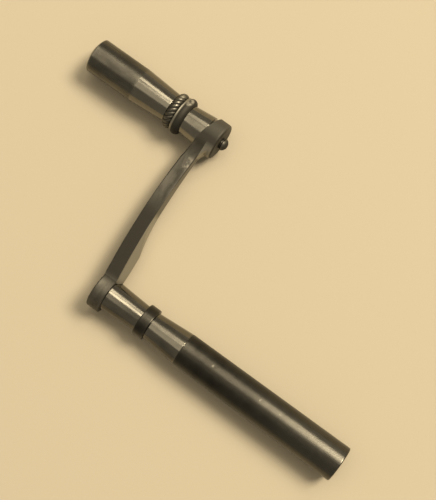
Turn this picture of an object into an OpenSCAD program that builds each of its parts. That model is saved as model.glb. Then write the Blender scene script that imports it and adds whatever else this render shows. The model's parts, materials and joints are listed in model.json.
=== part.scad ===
// Crank winding key of a longcase clock, lying on its side.
// Origin: centre of the socket's mouth. +X points out of the mouth, +Y from the pipe to the handle.

/* [Socket pipe] */
// Side of the square socket
socket_square = 5.5; // [4:0.1:6]
// Depth of the square socket from the mouth
socket_depth = 22; // [12:0.5:30]
// Diameter of the drilled hole behind the square socket
relief_d = 5.4; // [4:0.1:6]
// Length of the pipe
pipe_length = 60.4; // [50:0.1:80]
// Diameter of the pipe at its mouth
pipe_mouth_d = 12.2; // [10.5:0.1:14]
// Diameter of the pipe at its shoulder
pipe_shoulder_d = 11.4; // [10:0.1:13]
// Broken edge round the mouth
mouth_chamfer = 0.4; // [0.1:0.1:0.8]

/* [Neck, collar and hub] */
// Length of the neck cone
neck_length = 12.6; // [8:0.1:20]
// Diameter of the neck cone at the collar
neck_d = 9.4; // [8.6:0.1:11]
// Width of the collar
collar_width = 3.7; // [2:0.1:6]
// Diameter of the collar
collar_d = 11.2; // [10:0.1:14]
// Broken edge of the collar
collar_chamfer = 0.35; // [0.1:0.05:0.6]
// Length of the hub
hub_length = 12.9; // [8:0.1:20]
// Diameter of the hub at the arm
hub_arm_d = 10.5; // [9.5:0.1:12]
// Diameter of the hub at the collar
hub_collar_d = 9.2; // [8.8:0.1:12]
// Diameter of the stem through the collar, the neck and the pipe's end
stem_d = 7; // [6:0.1:7.6]
// Length of the stem inside the pipe
stem_seat = 12; // [8:0.5:16]
// Side of the square tenon in the arm
tenon_square = 6; // [4.5:0.1:6.5]

/* [Arm] */
// Throw of the crank, from the pipe's axis to the handle's axis
throw = 60; // [50:0.5:80]
// Radius of the lower eye
lower_eye_r = 6.7; // [6.2:0.1:8]
// Thickness of the lower eye
lower_eye_t = 4.5; // [3.5:0.1:6]
// Broken edge of the lower eye's back
lower_eye_chamfer = 0.5; // [0.1:0.1:1]
// Radius of the upper eye
upper_eye_r = 6.3; // [5.9:0.1:7.5]
// Thickness of the upper eye
upper_eye_t = 5.4; // [4:0.1:7]
// Rounded rim of the upper eye
upper_eye_round = 0.9; // [0.2:0.1:1.5]
// Distance of the upper eye's middle behind the lower eye's middle
eye_offset = 0.1; // [0:0.1:2]
// Thickness of the bar
bar_t = 4.5; // [3.5:0.1:5.5]
// Width of the bar at its root
bar_root_w = 9.2; // [7:0.1:10.5]
// Width of the bar at its tip
bar_tip_w = 4.5; // [3.5:0.1:7]
// How far the bar bows behind the lower eye
bow = 3; // [1.5:0.1:4]
// Distance of the bow's crown below the handle's axis
crown_drop = 15; // [8:0.5:25]
// Lap of the bar's root into the lower eye
root_lap = 0.4; // [0.2:0.1:1]
// Radius of the arc that leans the arm's back in towards its tip
tip_arc = 75; // [65:1:90]
// Distance of that arc's centre below the bow's crown
tip_drop = 3; // [2:0.1:4]
// How far that arc starts behind the bow's crown
tip_lap = 0.3; // [0.2:0.05:0.4]
// Radius that carries the bar's front up to the upper eye
eye_fillet = 7; // [5:0.1:9]
// Radius that carries the bar's sides out to the upper eye's rim
eye_blend = 9; // [6:0.5:14]
// Height of the ridge on the pipe side of the root
ridge_h = 2.1; // [1:0.1:3]
// Width of the ridge's foot
ridge_w = 7.6; // [5:0.1:9]
// Distance of the ridge's peak from the pipe's axis
ridge_peak = 15; // [10:0.5:20]
// Distance of the ridge's end from the pipe's axis
ridge_end = 31; // [24:0.5:38]
// Radius of the two arcs that meet at the ridge's peak
ridge_arc = 58; // [40:1:90]

/* [Handle] */
// Length of the neck ferrule
ferrule_length = 7.8; // [5:0.1:12]
// Diameter of the neck ferrule at the arm
ferrule_arm_d = 11.5; // [9.5:0.1:11.8]
// Diameter of the neck ferrule at the rings
ferrule_ring_d = 9.9; // [9:0.1:11.4]
// Wall of the neck ferrule at the arm
ferrule_wall = 1.6; // [1:0.1:2.5]
// Width of the plain bead ring
bead_width = 3.1; // [2:0.1:4]
// Diameter of the plain bead ring
bead_d = 13; // [11.5:0.1:15]
// Width of the bead ring's narrow fillet beside the cords
fillet_width = 0.6; // [0.3:0.1:1]
// Diameter of that fillet
fillet_d = 12.2; // [11.4:0.1:12.6]
// Width of the corded ring
corded_width = 3.2; // [2.4:0.1:4]
// Diameter of the corded ring
corded_d = 12.7; // [11.5:0.1:15]
// Number of cords round the corded ring
cord_count = 24; // [16:1:30]
// Slant of the cords from the handle's axis
cord_slant = 32; // [10:1:40]
// Radius of the grooves between the cords
cord_groove_r = 0.36; // [0.2:0.02:0.5]
// Length of the waist cone
waist_length = 12.6; // [8:0.1:20]
// Diameter of the waist at the rings
waist_d = 10.1; // [9:0.1:12]
// Length of the grip
grip_length = 17.5; // [12:0.1:40]
// Diameter of the grip
grip_d = 11.9; // [11:0.1:15]
// Height of the grip's domed end
dome_h = 1.7; // [0.5:0.1:4]
// Diameter of the spigot that carries the rings
spigot_d = 7.2; // [6.6:0.1:7.6]

/* [Spindle] */
// Diameter of the spindle inside the grip
spindle_d = 4.6; // [4:0.1:5]
// Length of the spindle inside the grip's waist and grip
spindle_seat = 20; // [12:0.5:26]
// Diameter of the journal that turns in the upper eye
journal_d = 3; // [2.4:0.1:3.4]
// Diameter of the spindle's tail in the button
tail_d = 2; // [1.4:0.1:2.2]
// Length of the spindle's tail in the button
tail_length = 1.4; // [1:0.1:1.6]
// Diameter of the button
button_d = 4.2; // [3.9:0.1:5]
// Height of the button
button_h = 2.2; // [2:0.1:3.5]
// Height of the button's straight side
button_side = 0.8; // [0.6:0.1:1.2]
// Undercut at the button's base
button_undercut = 0.3; // [0.1:0.05:0.35]

/* [Clearances] */
// Gap round brazed and riveted seats
seat_gap = 0.03; // [0.01:0.01:0.06]
// Radial clearance of the journal in the upper eye
running_gap = 0.05; // [0.02:0.01:0.1]
// End play of the handle on each side of the upper eye
end_play = 0.15; // [0.1:0.05:0.3]
// Clearance of the arm's spot face round the turning ferrule
spot_gap = 0.2; // [0.1:0.05:0.3]

/* [Hidden] */
$fn = 96;
cut = 1;
long_arc_fn = 720;

// Stations along the pipe
shoulder_x = -pipe_length;
collar_x = shoulder_x - neck_length;
hub_x = collar_x - collar_width;
arm_x = hub_x - hub_length;
arm_back_x = arm_x - lower_eye_t;

// Stations along the handle
eye_front_x = arm_x - lower_eye_t / 2 - eye_offset + upper_eye_t / 2;
eye_back_x = eye_front_x - upper_eye_t;
ferrule_x = eye_back_x - end_play;
bead_x = ferrule_x - ferrule_length;
corded_x = bead_x - bead_width;
waist_x = corded_x - corded_width;
grip_x = waist_x - waist_length;
grip_end_x = grip_x - grip_length;
spigot_end_x = ferrule_x - ferrule_wall;
spindle_end_x = waist_x - spindle_seat;
button_x = eye_front_x + end_play;

// The bar's bow is one arc about an upright axis, which starts where the root's corners meet the eye
bow_start = sqrt(pow(lower_eye_r, 2) - pow(bar_root_w / 2, 2)) - root_lap;
crown_y = throw - crown_drop;
bow_r = (pow(crown_y - bow_start, 2) + bow * bow) / (2 * bow);
bow_x = arm_x - lower_eye_t / 2 - bow + bow_r;
bar_front_r = bow_r - bar_t / 2;
bar_back_r = bow_r + bar_t / 2;

// Beyond the bow's crown the arm's back leans in on a tighter arc. The spot face squares it for the ferrule
bar_back_x = bow_x - bar_back_r;
bar_front_x = bow_x - bar_front_r;
tip_arc_x = bar_back_x + tip_arc - tip_lap;
tip_arc_y = crown_y - tip_drop;
spot_d = ferrule_arm_d + 2 * spot_gap;
rim_front_x = eye_front_x - upper_eye_round;
ramp_y = throw - upper_eye_r - eye_fillet / 2;
tip_y = throw - upper_eye_r / 2;

// The arcs that blend the bar's sides into the eye, placed from the eye's centre along the tapered side
blend_lap = 0.05;
bar_taper = atan((bar_root_w - bar_tip_w) / 2 / (tip_y - bow_start));
blend_rise = cos(bar_taper) * half_width(throw) + eye_blend - blend_lap;
blend_reach = sqrt(pow(upper_eye_r + eye_blend - blend_lap, 2) - pow(blend_rise, 2));
blend_y = throw - blend_reach * cos(bar_taper) + blend_rise * sin(bar_taper);
blend_z = blend_reach * sin(bar_taper) + blend_rise * cos(bar_taper);

// Half the width of the bar's straight taper at a height above the pipe's axis
function half_width(height) = bar_root_w / 2 - tan(bar_taper) * (height - bow_start);

// Point at a depth in front of the bar's front face, square to it, at a height above the pipe's axis
function ahead_of_bar(depth, height) =
  let (turn = asin((crown_y - height) / bar_front_r), r = bar_front_r - depth)
  [bow_x - r * cos(turn), crown_y - r * sin(turn)];

// Turns a shape's own Z axis onto X
module along_x() {
  rotate([0, 90, 0]) children();
}

// Places a shape on the handle's axis, with its own Z axis along X
module on_handle() {
  translate([0, throw, 0]) along_x() children();
}

// Solid turned from a profile of [station, diameter] pairs
module turned(profile) {
  rotate_extrude() polygon([
    [0, profile[0].x],
    for (p = profile) [p.y / 2, p.x],
    [0, profile[len(profile) - 1].x]
  ]);
}

// Round bar or bore between two stations
module round_bar(x0, x1, d) {
  translate([0, 0, x0]) cylinder(h = x1 - x0, d = d);
}

// Half-round ring between two stations, without its bore
module half_round(x0, width, d) {
  translate([0, 0, x0 + width / 2]) rotate_extrude() {
    translate([d / 2 - width / 2, 0]) circle(d = width);
    translate([0, -width / 2]) square([d / 2 - width / 2, width]);
  }
}

// Bored hole through the parts that seat on the grip's spigot
module spigot_bore(x0, x1) {
  round_bar(x0, x1, spigot_d + 2 * seat_gap);
}

// The bar seen along the handle's axis: a straight taper whose sides run into the upper eye's rim on arcs
module bar_face() {
  translate([arm_back_x - lower_eye_t - bow, 0, 0])
    rotate([90, 0, 90])
      linear_extrude(height = 2 * (lower_eye_t + upper_eye_t) + bow) difference() {
        polygon([
          [bow_start, -bar_root_w / 2],
          [blend_y, -half_width(blend_y)],
          [blend_y, -blend_z],
          [throw, 0],
          [blend_y, blend_z],
          [blend_y, half_width(blend_y)],
          [bow_start, bar_root_w / 2]
        ]);
        for (side = [-1, 1]) translate([blend_y, side * blend_z]) circle(r = eye_blend);
      }
}

// The bar seen from above: a bowed band
module bar_plan() {
  linear_extrude(height = 2 * upper_eye_r, center = true) intersection() {
    translate([bow_x, crown_y]) difference() {
      circle(r = bar_back_r, $fn = long_arc_fn);
      circle(r = bar_front_r, $fn = long_arc_fn);
    }
    translate([bar_back_x - cut, bow_start]) square([3 * bar_t + bow, tip_y - bow_start]);
  }
}

// The ramp seen from above that carries the bar's front up to the upper eye on an arc
module ramp_plan() {
  linear_extrude(height = 2 * upper_eye_r, center = true) difference() {
    translate([bar_front_x - bar_t / 2, ramp_y])
      square([rim_front_x - bar_front_x + bar_t / 2, tip_y - ramp_y]);
    translate([bar_front_x + eye_fillet, ramp_y]) circle(r = eye_fillet);
  }
}

// What is cut off the back of the arm's tip: all that lies outside the leaning arc
module tip_back() {
  linear_extrude(height = 4 * upper_eye_r, center = true) difference() {
    translate([bar_back_x - cut, crown_y]) square([2 * bar_t, throw + 2 * upper_eye_r - crown_y]);
    translate([tip_arc_x, tip_arc_y]) circle(r = tip_arc, $fn = long_arc_fn);
  }
}

// Ridged swelling in front of the bar's root: a roof section carried along the bow
module root_ridge() {
  difference() {
    intersection() {
      translate([bow_x, crown_y, 0]) rotate_extrude($fn = long_arc_fn) polygon([
        [bar_front_r - ridge_h, 0],
        [bar_front_r, -ridge_w / 2],
        [bar_front_r + bar_t / 2, -ridge_w / 2],
        [bar_front_r + bar_t / 2, ridge_w / 2],
        [bar_front_r, ridge_w / 2]
      ]);
      linear_extrude(height = bar_root_w, center = true) difference() {
        intersection() {
          translate([arm_back_x - bow, bow_start]) square([2 * lower_eye_t + bow, ridge_end - bow_start]);
          translate(ahead_of_bar(ridge_h - ridge_arc, ridge_peak)) circle(r = ridge_arc, $fn = long_arc_fn);
        }
        translate(ahead_of_bar(ridge_arc, ridge_end)) circle(r = ridge_arc, $fn = long_arc_fn);
      }
    }
    along_x() round_bar(arm_x, arm_x + hub_length, hub_arm_d + 2 * seat_gap);
  }
}

// Bowed arm with an eye at each end
module crank_arm() {
  tenon_hole = tenon_square + 2 * seat_gap;
  color("dimgray") difference() {
    union() {
      along_x() turned([
        [arm_back_x, 2 * (lower_eye_r - lower_eye_chamfer)],
        [arm_back_x + lower_eye_chamfer, 2 * lower_eye_r],
        [arm_x, 2 * lower_eye_r]
      ]);
      difference() {
        union() {
          on_handle() rotate_extrude() {
            translate([0, bar_back_x]) square([upper_eye_r, rim_front_x - bar_back_x]);
            translate([0, rim_front_x]) square([upper_eye_r - upper_eye_round, upper_eye_round]);
            translate([upper_eye_r - upper_eye_round, rim_front_x]) circle(r = upper_eye_round);
          }
          intersection() {
            bar_face();
            bar_plan();
          }
          intersection() {
            bar_face();
            ramp_plan();
          }
        }
        tip_back();
        on_handle() round_bar(bar_back_x - cut, eye_back_x, spot_d);
      }
      intersection() {
        bar_face();
        root_ridge();
      }
    }
    translate([arm_back_x + lower_eye_t / 2, 0, 0])
      cube([lower_eye_t + 2 * cut, tenon_hole, tenon_hole], center = true);
    on_handle() round_bar(eye_back_x - cut, eye_front_x + cut, journal_d + 2 * running_gap);
  }
}

// Turned hub with a stem towards the pipe and a square tenon that runs from inside the hub into the arm
module hub_stem() {
  color("silver") {
    translate([arm_back_x, -tenon_square / 2, -tenon_square / 2])
      cube([lower_eye_t + hub_length / 2, tenon_square, tenon_square]);
    along_x() turned([
      [arm_x, hub_arm_d],
      [hub_x, hub_collar_d],
      [hub_x, stem_d],
      [shoulder_x + stem_seat, stem_d]
    ]);
  }
}

// Bored hole through the parts that seat on the stem
module stem_bore(x0, x1) {
  round_bar(x0, x1, stem_d + 2 * seat_gap);
}

// Plain ring with broken edges between hub and neck
module pipe_collar() {
  color("dimgray") along_x() difference() {
    turned([
      [hub_x, collar_d - 2 * collar_chamfer],
      [hub_x + collar_chamfer, collar_d],
      [collar_x - collar_chamfer, collar_d],
      [collar_x, collar_d - 2 * collar_chamfer]
    ]);
    stem_bore(hub_x - cut, collar_x + cut);
  }
}

// Cone that widens from the collar to the pipe
module neck_cone() {
  color("silver") along_x() difference() {
    turned([[collar_x, neck_d], [shoulder_x, pipe_shoulder_d]]);
    stem_bore(collar_x - cut, shoulder_x + cut);
  }
}

// Tapering pipe with a square socket at its mouth and a bored seat for the stem
module socket_pipe() {
  color("slategray") difference() {
    along_x() turned([
      [shoulder_x, pipe_shoulder_d],
      [-mouth_chamfer, pipe_mouth_d],
      [0, pipe_mouth_d - 2 * mouth_chamfer]
    ]);
    translate([-socket_depth, -socket_square / 2, -socket_square / 2])
      cube([socket_depth + cut, socket_square, socket_square]);
    along_x() {
      round_bar(shoulder_x, -socket_depth + cut, relief_d);
      stem_bore(shoulder_x - cut, shoulder_x + stem_seat);
    }
  }
}

// Domed grip, waist cone and spigot in one turning, bored for the spindle
module handle_grip() {
  dome_x = grip_end_x - dome_h;
  dome_r = (pow(grip_d / 2, 2) + pow(dome_h, 2)) / (2 * dome_h);
  color("slategray") on_handle() difference() {
    intersection() {
      turned([
        [dome_x, grip_d],
        [grip_x, grip_d],
        [waist_x, waist_d],
        [waist_x, spigot_d],
        [spigot_end_x, spigot_d]
      ]);
      translate([0, 0, dome_x + dome_r]) {
        sphere(r = dome_r);
        cylinder(h = spigot_end_x - dome_x, r = dome_r);
      }
    }
    round_bar(spindle_end_x, ferrule_x, spindle_d + 2 * seat_gap);
  }
}

// Half-round ring cut into slanting cords by curved grooves
module corded_ring() {
  ring_r = corded_d / 2 - corded_width / 2;
  color("dimgray") on_handle() difference() {
    half_round(waist_x, corded_width, corded_d);
    spigot_bore(waist_x - cut, corded_x + cut);
    translate([0, 0, waist_x + corded_width / 2])
      for (i = [0 : cord_count - 1])
        rotate(i * 360 / cord_count)
          translate([ring_r, 0, 0])
            rotate([90 + cord_slant, 0, 0])
              rotate_extrude($fn = 48) translate([corded_width / 2, 0]) circle(r = cord_groove_r, $fn = 24);
  }
}

// Plain half-round ring with a narrow fillet beside the cords
module bead_ring() {
  color("gray") on_handle() difference() {
    union() {
      half_round(corded_x, bead_width, bead_d);
      round_bar(corded_x, corded_x + fillet_width, fillet_d);
    }
    spigot_bore(corded_x - cut, bead_x + cut);
  }
}

// Bright neck over the spigot's end, closed towards the arm round the spindle
module neck_ferrule() {
  color("silver") on_handle() difference() {
    turned([[bead_x, ferrule_ring_d], [ferrule_x, ferrule_arm_d]]);
    spigot_bore(bead_x - cut, spigot_end_x);
    round_bar(bead_x, ferrule_x + cut, spindle_d + 2 * seat_gap);
  }
}

// Spindle fixed in the grip, with its journal in the upper eye and its tail in the button
module handle_spindle() {
  color("silver") on_handle() turned([
    [spindle_end_x, spindle_d],
    [ferrule_x, spindle_d],
    [ferrule_x, journal_d],
    [button_x, journal_d],
    [button_x, tail_d],
    [button_x + tail_length, tail_d]
  ]);
}

// Domed button with an undercut base
module spindle_button() {
  crown_h = button_h - button_side;
  crown_r = (pow(button_d / 2, 2) + pow(crown_h, 2)) / (2 * crown_h);
  color("gray") on_handle() difference() {
    intersection() {
      round_bar(button_x, button_x + button_h, button_d);
      translate([0, 0, button_x + button_h - crown_r]) {
        sphere(r = crown_r);
        translate([0, 0, -button_h]) cylinder(h = button_h, r = crown_r);
      }
    }
    round_bar(button_x - cut, button_x + tail_length, tail_d + 2 * seat_gap);
    translate([0, 0, button_x]) rotate_extrude()
      translate([button_d / 2, button_undercut]) circle(r = button_undercut, $fn = 32);
  }
}

crank_arm();
hub_stem();
pipe_collar();
neck_cone();
socket_pipe();
handle_grip();
corded_ring();
bead_ring();
neck_ferrule();
handle_spindle();
spindle_button();
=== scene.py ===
"""Looks of a longcase clock's crank winding key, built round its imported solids.

Sizes are in millimetres until a mesh is written, and the meshes are in metres. A turned piece is a
profile of stations and radii swept round its axis, and the arm is a section carried along its bow.
"""

import json
import logging
import math
from dataclasses import dataclass, field, replace
from enum import Enum
from typing import List, Mapping, NamedTuple, Optional, Sequence, Tuple, Union

import bpy
import numpy as np
from mathutils import Matrix, Quaternion, Vector


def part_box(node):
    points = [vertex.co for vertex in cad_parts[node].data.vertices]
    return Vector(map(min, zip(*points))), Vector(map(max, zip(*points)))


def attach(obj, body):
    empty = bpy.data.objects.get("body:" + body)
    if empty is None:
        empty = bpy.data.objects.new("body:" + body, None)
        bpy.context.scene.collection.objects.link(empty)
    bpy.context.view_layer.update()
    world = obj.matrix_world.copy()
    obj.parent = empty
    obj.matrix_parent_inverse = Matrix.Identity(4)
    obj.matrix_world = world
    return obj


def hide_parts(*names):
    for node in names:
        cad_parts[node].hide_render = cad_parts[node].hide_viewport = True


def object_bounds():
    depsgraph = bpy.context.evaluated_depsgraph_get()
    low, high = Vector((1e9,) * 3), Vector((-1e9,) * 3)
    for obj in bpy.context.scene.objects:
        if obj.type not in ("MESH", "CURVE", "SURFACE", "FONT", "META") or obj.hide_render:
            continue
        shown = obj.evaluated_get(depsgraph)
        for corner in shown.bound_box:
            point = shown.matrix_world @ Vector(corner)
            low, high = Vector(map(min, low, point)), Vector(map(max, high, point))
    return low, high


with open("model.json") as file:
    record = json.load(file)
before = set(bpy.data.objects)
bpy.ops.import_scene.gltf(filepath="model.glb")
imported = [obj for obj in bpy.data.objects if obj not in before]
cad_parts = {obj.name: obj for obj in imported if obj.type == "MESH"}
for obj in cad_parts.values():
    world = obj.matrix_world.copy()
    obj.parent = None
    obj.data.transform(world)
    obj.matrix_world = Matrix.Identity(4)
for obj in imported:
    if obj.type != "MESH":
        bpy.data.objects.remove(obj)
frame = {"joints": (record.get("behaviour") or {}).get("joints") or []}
SOLID_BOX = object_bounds()

MM = 0.001
log = logging.getLogger("winding_key")

# Distance from the winding axis to the handle's axis.
THROW = frame["joints"][0]["pos_m"][1] / MM

# Name of the wear on a mesh's points, and how far it reaches from an edge.
WEAR = "wear"
WEAR_REACH = 0.3

# Radius of an outline's end that a pole closes, least length of a straight, and angle of a sharp edge.
POLE_R = 0.001
TINY = 1e-9
SHARP = math.radians(38.0)

NOISE_MIDDLE = 0.5
STEEL_TINT = (1.06, 1.0, 0.83)

Span = Tuple[float, float]
Triple = Tuple[float, float, float]
Colour = Triple


class Body(Enum):
    """The two bodies of the key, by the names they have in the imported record."""

    CRANK = "crank"
    HANDLE = "handle"


class RowEnds(Enum):
    """How a grid of points closes at its first and last rows."""

    POLES = "each end draws in to one point"
    RING = "the last row joins the first"


class Lay(Enum):
    """Which way the tool marks run: cycles a millimetre of their noise along X, Y and Z."""

    ROUND = (3.0, 0.1, 0.1)
    ALONG = (0.16, 5.0, 5.0)
    STREAKED = (0.06, 1.3, 1.3)
    FILED = (2.2, 0.35, 3.0)


class Corner(NamedTuple):
    """One corner of a turned outline. A row of squareness 1 is a square of that half width."""

    station: float
    radius: float
    rounding: float = 0.0
    square: float = 0.0


class Signal:
    """A shader value that takes part in Python arithmetic. Each operator adds a Math node to its graph."""

    def __init__(self, graph: "Graph", socket: bpy.types.NodeSocket) -> None:
        """Wraps one socket of a graph."""
        self.graph = graph
        self.socket = socket

    def _math(self, operation: str, first: "Number", second: "Number") -> "Signal":
        """Adds one Math node and wraps its result."""
        made = self.graph.node("ShaderNodeMath", {"operation": operation}, {0: first, 1: second})
        return Signal(self.graph, made.outputs[0])

    def __add__(self, other: "Number") -> "Signal":
        """This value plus another."""
        return self._math("ADD", self, other)

    __radd__ = __add__

    def __sub__(self, other: "Number") -> "Signal":
        """This value less another."""
        return self._math("SUBTRACT", self, other)

    def __rsub__(self, other: "Number") -> "Signal":
        """Another value less this one."""
        return self._math("SUBTRACT", other, self)

    def __mul__(self, other: "Number") -> "Signal":
        """This value times another."""
        return self._math("MULTIPLY", self, other)

    __rmul__ = __mul__

    def step(self, low: float, high: float) -> "Signal":
        """Smooth step of this value.

        Args:
            low: Value at which the step starts at 0.
            high: Value at which the step reaches 1.

        Returns:
            A value from 0 to 1.
        """
        made = self.graph.node(
            "ShaderNodeMapRange",
            {"interpolation_type": "SMOOTHSTEP"},
            {"Value": self, "From Min": low, "From Max": high},
        )
        return Signal(self.graph, made.outputs["Result"])

    def between(self, rise: Span, fall: Span) -> "Signal":
        """1 from the end of one step to the start of the next, and 0 beyond them."""
        return self.step(*rise) * (1.0 - self.step(*fall))


Number = Union[Signal, float]
Feed = Union[Signal, float, Sequence[float]]


class Graph:
    """The node tree of one material."""

    def __init__(self, name: str) -> None:
        """Starts an empty tree on a new material.

        Args:
            name: The material's name.
        """
        self.material = bpy.data.materials.new(name)
        self.material.use_nodes = True
        self.tree = self.material.node_tree
        self.tree.nodes.clear()

    def node(
        self,
        kind: str,
        settings: Optional[Mapping[str, object]] = None,
        sockets: Optional[Mapping[Union[str, int], Feed]] = None,
    ) -> bpy.types.Node:
        """Adds one node.

        Args:
            kind: Blender's name of the node type.
            settings: Properties of the node, set before its sockets.
            sockets: Values or links of its inputs, by name or number.

        Returns:
            The node.
        """
        made = self.tree.nodes.new(kind)
        for key, value in (settings or {}).items():
            setattr(made, key, value)
        for key, value in (sockets or {}).items():
            if isinstance(value, Signal):
                self.tree.links.new(value.socket, made.inputs[key])
            else:
                made.inputs[key].default_value = value
        return made

    def place(self, stretch: Sequence[float]) -> Signal:
        """Object coordinates in millimetres, stretched along each axis.

        Args:
            stretch: Factor along X, Y and Z.

        Returns:
            The stretched vector.
        """
        source = Signal(self, self.node("ShaderNodeTexCoord").outputs["Object"])
        scale = [factor / MM for factor in stretch]
        made = self.node("ShaderNodeMapping", {}, {"Vector": source, "Scale": scale})
        return Signal(self, made.outputs["Vector"])

    def along(self, axis: str) -> Signal:
        """The X, Y or Z coordinate in millimetres."""
        made = self.node("ShaderNodeSeparateXYZ", {}, {"Vector": self.place((1.0, 1.0, 1.0))})
        return Signal(self, made.outputs[axis])

    def gap(self, point: Sequence[float], stretch: Sequence[float] = (1.0, 1.0, 1.0)) -> Signal:
        """Distance from a point, or from a line where an axis is stretched to nothing.

        Args:
            point: The point, in millimetres.
            stretch: Factor along X, Y and Z.

        Returns:
            The distance in millimetres.
        """
        ends = {0: self.place(stretch), 1: list(point)}
        made = self.node("ShaderNodeVectorMath", {"operation": "DISTANCE"}, ends)
        return Signal(self, made.outputs["Value"])

    def noise(self, stretch: Sequence[float], detail: float, grain: float = 0.55) -> Signal:
        """Cloudy noise.

        Args:
            stretch: Cycles a millimetre along X, Y and Z.
            detail: Octaves.
            grain: Share of each finer octave.

        Returns:
            A value about 0.5.
        """
        feeds = {"Vector": self.place(stretch), "Scale": 1.0, "Detail": detail, "Roughness": grain}
        made = self.node("ShaderNodeTexNoise", {}, feeds)
        return Signal(self, made.outputs["Fac"])

    def spots(self, spacing: float, core: float, rim: float) -> Signal:
        """Scattered round spots.

        Args:
            spacing: Millimetres between neighbours.
            core: Radius of a spot's full part, as a share of the spacing.
            rim: Radius of its faded edge, as a share of the spacing.

        Returns:
            1 in the spots and 0 between them.
        """
        feeds = {"Vector": self.place([1.0 / spacing] * 3), "Scale": 1.0}
        made = self.node("ShaderNodeTexVoronoi", {}, feeds)
        return 1.0 - Signal(self, made.outputs["Distance"]).step(core, rim)

    def attribute(self, name: str) -> Signal:
        """A value kept on the mesh's points."""
        made = self.node("ShaderNodeAttribute", {"attribute_name": name})
        return Signal(self, made.outputs["Fac"])

    def blend(self, share: Signal, none: Union[Signal, Colour], full: Union[Signal, Colour]) -> Signal:
        """Mixes two colours.

        Args:
            share: 0 for the first colour and 1 for the second.
            none: First colour.
            full: Second colour.

        Returns:
            The mixed colour.
        """
        # Inputs 6 and 7 and output 2 of a Mix node are its colours.
        ends = [end if isinstance(end, Signal) else (*end, 1.0) for end in (none, full)]
        made = self.node("ShaderNodeMix", {"data_type": "RGBA"}, {0: share, 6: ends[0], 7: ends[1]})
        return Signal(self, made.outputs[2])

    def finish(self, sockets: Mapping[str, Feed]) -> bpy.types.Material:
        """Closes the tree with one Principled shader.

        Args:
            sockets: Values or links of the shader's inputs.

        Returns:
            The material.
        """
        shader = self.node("ShaderNodeBsdfPrincipled", {}, sockets)
        self.node("ShaderNodeOutputMaterial", {}, {"Surface": Signal(self, shader.outputs["BSDF"])})
        return self.material


def shaded(colour: Colour, share: float) -> Colour:
    """A colour darkened to a share of itself."""
    red, green, blue = colour
    return red * share, green * share, blue * share


def steel_grey(level: float) -> Colour:
    """Colour of steel at a level of grey, a little warm."""
    return shaded(STEEL_TINT, level)


@dataclass(frozen=True)
class SteelFinish:
    """Steel with a brown film over it, rubbed bright on its edges, with tool marks, a mottle and pits.

    Lengths are in millimetres and noise is in cycles a millimetre. The film grows from none to all as its
    clouds pass through the span of cover. Depths are in units of the bump's depth.
    """

    name: str
    bare: Colour
    film: Colour
    polish_and_sheen_colour: Colour = steel_grey(0.36)
    smooth: float = 0.16
    dull: float = 0.24
    cover: Span = (0.35, 0.75)
    cloud: Triple = (0.22, 0.22, 0.22)
    cloud_detail: float = 5.0
    cloud_grain: float = 0.55
    lay: Lay = Lay.STREAKED
    mark_depth: float = 4.0
    mark_gloss: float = 0.08
    edge_shine: float = 0.7
    mottle: Triple = (0.5, 0.5, 0.5)
    mottle_top: float = 0.8
    mottle_share: float = 0.2
    mottle_shade: float = 0.6
    mottle_gloss: float = 0.05
    mottle_depth: float = 0.3
    pit_spacing: float = 1.1
    pit_reach: Span = (0.025, 0.05)
    pit_patch: Triple = (0.3, 0.3, 0.3)
    pit_cover: Span = (0.5, 0.62)
    pit_share: float = 0.4
    pit_shade: float = 0.35
    pit_gloss: float = 0.1
    pit_depth: float = 0.3
    bump_depth: float = 0.004
    bump_strength: float = 0.5

    def clouds(self, graph: Graph) -> Signal:
        """The film's clouds, from 0 to 1."""
        return graph.noise(self.cloud, self.cloud_detail, self.cloud_grain).step(*self.cover)

    def film_share(self, graph: Graph) -> Signal:
        """How much of the film is left: its clouds alone."""
        return self.clouds(graph)

    def polish_and_sheen(self, graph: Graph) -> Optional[Signal]:
        """Where the steel is polished and where sheen is painted, at full brightness, if anywhere."""
        return None

    def colour(self, graph: Graph, film: Signal, mottle: Signal, pits: Signal) -> Signal:
        """Colour from bare steel to film, darkened by the mottle and the pits, then polished and painted
        with sheen.

        Args:
            graph: The material's nodes.
            film: Share of the film that is left.
            mottle: Fine noise.
            pits: 1 in the pits.

        Returns:
            The colour.
        """
        dark = (self.mottle_top - mottle).step(0.0, self.mottle_top) * self.mottle_share
        steel = graph.blend(film, self.bare, self.film)
        steel = graph.blend(dark, steel, shaded(self.film, self.mottle_shade))
        steel = graph.blend(pits * self.pit_share, steel, shaded(self.film, self.pit_shade))
        polish_and_sheen = self.polish_and_sheen(graph)
        return steel if polish_and_sheen is None else graph.blend(polish_and_sheen, steel, self.polish_and_sheen_colour)

    def material(self) -> bpy.types.Material:
        """Builds the finish.

        The worn edges lower the film's share. Roughness follows the film, the marks, the mottle and the
        pits, and the marks, the mottle and the pits are the bump.

        Returns:
            The material.
        """
        graph = Graph(self.name)
        film = self.film_share(graph) * (1.0 - graph.attribute(WEAR) * self.edge_shine)
        mottle = graph.noise(self.mottle, detail=3.0, grain=0.6)
        marks = graph.noise(self.lay.value, detail=1.0)
        pits = graph.spots(self.pit_spacing, *self.pit_reach)
        pits = pits * graph.noise(self.pit_patch, detail=2.0).step(*self.pit_cover)
        roughness = self.smooth + film * (self.dull - self.smooth) + pits * self.pit_gloss
        roughness = roughness + (marks - NOISE_MIDDLE) * self.mark_gloss
        roughness = roughness + (mottle - NOISE_MIDDLE) * self.mottle_gloss
        height = (marks + mottle * self.mottle_depth) * self.mark_depth - pits * self.pit_depth
        relief = {"Strength": self.bump_strength, "Distance": self.bump_depth * MM, "Height": height}
        bump = graph.node("ShaderNodeBump", {}, relief)
        return graph.finish(
            {
                "Base Color": self.colour(graph, film, mottle, pits),
                "Metallic": 1.0,
                "Roughness": roughness,
                "Normal": Signal(graph, bump.outputs["Normal"]),
            }
        )


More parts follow.
